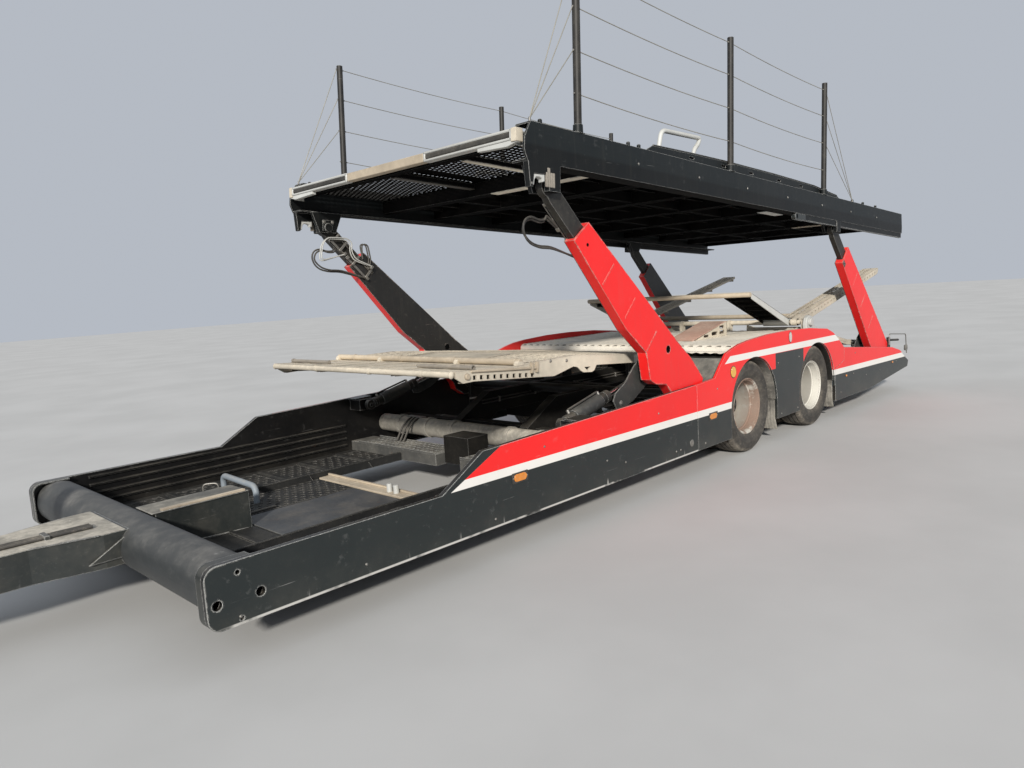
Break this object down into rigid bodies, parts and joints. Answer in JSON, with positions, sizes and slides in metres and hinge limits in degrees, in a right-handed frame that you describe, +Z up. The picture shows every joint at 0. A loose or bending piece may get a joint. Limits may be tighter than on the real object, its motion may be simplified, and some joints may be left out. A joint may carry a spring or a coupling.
{
  "type": "car transporter trailer",
  "caption": "Unladen two-axle centre-axle car transporter trailer with a red low side beam, white stripe, lifting upper deck on four arms and tilting platforms.",
  "frame": {"origin": "on the ground under the middle of the overall length, on the vehicle's middle plane", "axes": "+X forward to the towing eye, +Y to the left side, +Z up"},
  "size_m": [10.76, 2.55, 3.3809],
  "materials": {
    "red_paint": "gloss",
    "dark_paint": "satin",
    "black_paint": "satin",
    "galvanised": "matt",
    "rim_paint": "satin",
    "tyre": "matt",
    "rubber": "matt",
    "rod_chrome": "polished",
    "light_steel": "satin",
    "lamp_lens": "gloss"
  },
  "bodies": {
    "chassis": {"side_beam_left": "red_paint", "side_beam_right": "red_paint", "fender_left": "red_paint", "fender_right": "red_paint", "rear_panel_left": "red_paint", "rear_panel_right": "red_paint", "marker_lamps": "lamp_lens", "front_cross_tube": "dark_paint", "drawbar": "dark_paint", "towing_eye": "black_paint", "centre_spine": "dark_paint", "well_tracks": "galvanised", "well_floor": "dark_paint", "well_crossbeam": "dark_paint", "torsion_tube": "dark_paint", "frame_rails": "black_paint", "frame_crossmembers": "black_paint", "frame_outriggers": "black_paint", "bearing_plates": "black_paint", "axle_front": "black_paint", "axle_rear": "black_paint", "suspension": "black_paint", "bogie_deck": "galvanised", "hinge_tube": "galvanised", "rear_tracks": "galvanised", "rear_bumper": "dark_paint", "mudflaps": "rubber", "jack_housing": "dark_paint"},
    "jack": {"jack_leg": "galvanised"},
    "front_arm_pair": {"front_arms": "red_paint"},
    "front_tube_pair": {"front_slide_tubes": "black_paint"},
    "rear_arm_pair": {"rear_arms": "red_paint"},
    "rear_tube_pair": {"rear_slide_tubes": "black_paint"},
    "front_barrels": {"front_ram_barrels": "black_paint"},
    "front_rods": {"front_ram_rods": "rod_chrome"},
    "rear_barrels": {"rear_ram_barrels": "black_paint"},
    "rear_rods": {"rear_ram_rods": "rod_chrome"},
    "upper_deck": {"deck_beam_left": "dark_paint", "deck_beam_right": "dark_paint", "deck_cross_members": "dark_paint", "deck_runners": "dark_paint", "deck_plates": "galvanised", "deck_front_lip": "light_steel", "deck_boards": "dark_paint", "deck_posts": "black_paint"},
    "middle_platform": {"mid_platform": "galvanised", "platform_bars": "galvanised"},
    "rear_loading_bed": {"rear_bed": "galvanised"},
    "flap": {"wheel_flap": "galvanised"},
    "front_left_wheel": {"front_left_tyres": "tyre", "front_left_rims": "rim_paint"},
    "front_right_wheel": {"front_right_tyres": "tyre", "front_right_rims": "rim_paint"},
    "rear_left_wheel": {"rear_left_tyres": "tyre", "rear_left_rims": "rim_paint"},
    "rear_right_wheel": {"rear_right_tyres": "tyre", "rear_right_rims": "rim_paint"}
  },
  "joints": [
    {"name": "deck_lift", "type": "hinge", "parent": "chassis", "child": "front_arm_pair", "pos_m": [-0.34, 0, 0.62], "axis": [0, -1, 0], "range_deg": [-13.5, 14]},
    {"name": "rear_arm_lift", "type": "hinge", "parent": "chassis", "child": "rear_arm_pair", "pos_m": [-4.62, 0, 0.44], "axis": [0, -1, 0], "range_deg": [-14, 14.5]},
    {"name": "deck_extend", "type": "slide", "parent": "front_arm_pair", "child": "front_tube_pair", "axis": [0.7021, 0, 0.712], "range_m": [-0.25, 0.3]},
    {"name": "rear_tube_extend", "type": "slide", "parent": "rear_arm_pair", "child": "rear_tube_pair", "axis": [0.7021, 0, 0.712], "range_m": [-0.26, 0.31]},
    {"name": "deck_level", "type": "hinge", "parent": "front_tube_pair", "child": "upper_deck", "pos_m": [1.08, 0, 2.06], "axis": [0, -1, 0], "range_deg": [-14.5, 14]},
    {"name": "front_ram_swing", "type": "hinge", "parent": "chassis", "child": "front_barrels", "pos_m": [0.88, 0, 0.6], "axis": [0, -1, 0], "range_deg": [-6, 6]},
    {"name": "front_ram_stroke", "type": "slide", "parent": "front_barrels", "child": "front_rods", "axis": [-0.9728, 0, 0.2316], "range_m": [-0.07, 0.07]},
    {"name": "rear_ram_swing", "type": "hinge", "parent": "chassis", "child": "rear_barrels", "pos_m": [-3.4, 0, 0.42], "axis": [0, -1, 0], "range_deg": [-6, 6]},
    {"name": "rear_ram_stroke", "type": "slide", "parent": "rear_barrels", "child": "rear_rods", "axis": [-0.9728, 0, 0.2316], "range_m": [-0.07, 0.07]},
    {"name": "middle_platform_tilt", "type": "hinge", "parent": "chassis", "child": "middle_platform", "pos_m": [-0.87, 0, 0.84], "axis": [0, -1, 0], "range_deg": [-8, 8]},
    {"name": "rear_bed_tilt", "type": "hinge", "parent": "chassis", "child": "rear_loading_bed", "pos_m": [-2.81, 0, 0.985], "axis": [0, 1, 0], "range_deg": [-20, 5]},
    {"name": "wheel_flap_hinge", "type": "hinge", "parent": "chassis", "child": "flap", "pos_m": [-2.81, 0, 0.985], "axis": [0, -1, 0], "range_deg": [-18, 15]},
    {"name": "jack_slide", "type": "slide", "parent": "chassis", "child": "jack", "axis": [0, 0, 1], "range_m": [0, 0.28]},
    {"name": "front_left_roll", "type": "hinge", "parent": "chassis", "child": "front_left_wheel", "pos_m": [-1.32, 0.975, 0.388], "axis": [0, 1, 0], "continuous": true},
    {"name": "front_right_roll", "type": "hinge", "parent": "chassis", "child": "front_right_wheel", "pos_m": [-1.32, -0.975, 0.388], "axis": [0, 1, 0], "continuous": true},
    {"name": "rear_left_roll", "type": "hinge", "parent": "chassis", "child": "rear_left_wheel", "pos_m": [-2.63, 0.975, 0.388], "axis": [0, 1, 0], "continuous": true},
    {"name": "rear_right_roll", "type": "hinge", "parent": "chassis", "child": "rear_right_wheel", "pos_m": [-2.63, -0.975, 0.388], "axis": [0, 1, 0], "continuous": true}
  ],
  "couplings": [
    {"joint": "rear_arm_lift", "follows": "deck_lift", "ratio": 1},
    {"joint": "deck_level", "follows": "deck_lift", "ratio": -1},
    {"joint": "rear_tube_extend", "follows": "deck_extend", "ratio": 1},
    {"joint": "front_ram_swing", "follows": "deck_lift", "ratio": -0.38},
    {"joint": "front_ram_stroke", "follows": "deck_lift", "m_per_rad": 0.263},
    {"joint": "rear_ram_swing", "follows": "deck_lift", "ratio": -0.38},
    {"joint": "rear_ram_stroke", "follows": "deck_lift", "m_per_rad": 0.263}
  ]
}
